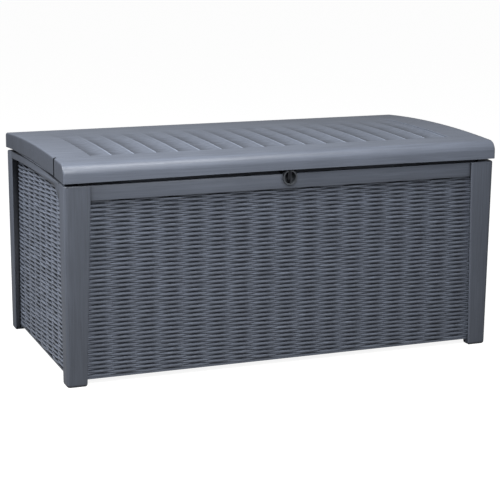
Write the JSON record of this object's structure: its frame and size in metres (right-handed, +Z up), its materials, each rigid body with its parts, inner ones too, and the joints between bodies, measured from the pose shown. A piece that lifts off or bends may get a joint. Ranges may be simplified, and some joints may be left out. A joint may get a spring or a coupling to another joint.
{
  "type": "deck storage box",
  "caption": "Moulded resin deck storage box with woven-look walls, corner posts, a crowned bench lid hinged at the back on gas struts, and a padlock eye in the front rail.",
  "frame": {"origin": "centre of the footprint, on the ground", "axes": "+X to the right along the length, +Y to the back (hinge side), +Z up"},
  "size_m": [1.295, 0.7, 0.625],
  "materials": {
    "body_resin": "satin moulded resin, faint wood grain",
    "lid_resin": "satin moulded resin, faint wood grain",
    "inner_resin": "plain moulded resin",
    "fitting_resin": "plain dark resin",
    "strut_tube": "satin black",
    "steel": "zinc plated"
  },
  "bodies": {
    "root": {"floor_panel": "inner_resin", "front_panel": "body_resin", "back_panel": "body_resin", "left_panel": "body_resin", "right_panel": "body_resin", "post_front_left": "body_resin", "post_front_right": "body_resin", "post_back_left": "body_resin", "post_back_right": "body_resin", "lock_cup": "fitting_resin", "lock_eye": "fitting_resin", "hinge_pin_left": "steel", "hinge_pin_middle": "steel", "hinge_pin_right": "steel", "strut_bracket_left": "fitting_resin", "strut_bracket_right": "fitting_resin", "strut_clip_left": "steel", "strut_clip_right": "steel", "bracket_screws": "steel"},
    "lid": {"lid_shell": "lid_resin", "lid_nose_rail": "lid_resin", "lid_liner": "inner_resin", "lid_lock_tab": "fitting_resin", "lid_bracket_left": "fitting_resin", "lid_bracket_right": "fitting_resin", "lid_bracket_screws": "steel"},
    "strut_tube_left": {"strut_tube_left": "strut_tube"},
    "strut_rod_left": {"strut_rod_left": "steel"},
    "strut_tube_right": {"strut_tube_right": "strut_tube"},
    "strut_rod_right": {"strut_rod_right": "steel"}
  },
  "joints": [
    {"name": "lid_hinge", "type": "hinge", "parent": "root", "child": "lid", "pos_m": [0, 0.3435, 0.555], "axis": [-1, 0, 0], "range_deg": [0, 70]},
    {"name": "strut_left_swing", "type": "hinge", "parent": "root", "child": "strut_tube_left", "pos_m": [-0.589, 0.262, 0.344], "axis": [1, 0, 0], "range_deg": [-23.9, 0]},
    {"name": "strut_left_stroke", "type": "slide", "parent": "strut_tube_left", "child": "strut_rod_left", "axis": [0, -0.3253, 0.9456], "range_m": [0, 0.1354]},
    {"name": "strut_right_swing", "type": "hinge", "parent": "root", "child": "strut_tube_right", "pos_m": [0.589, 0.262, 0.344], "axis": [1, 0, 0], "range_deg": [-23.9, 0]},
    {"name": "strut_right_stroke", "type": "slide", "parent": "strut_tube_right", "child": "strut_rod_right", "axis": [0, -0.3253, 0.9456], "range_m": [0, 0.1354]}
  ],
  "couplings": [
    {"joint": "strut_left_swing", "follows": "lid_hinge", "ratio": -0.33431},
    {"joint": "strut_left_stroke", "follows": "lid_hinge", "m_per_rad": 0.10999},
    {"joint": "strut_right_swing", "follows": "lid_hinge", "ratio": -0.33431},
    {"joint": "strut_right_stroke", "follows": "lid_hinge", "m_per_rad": 0.10999}
  ]
}
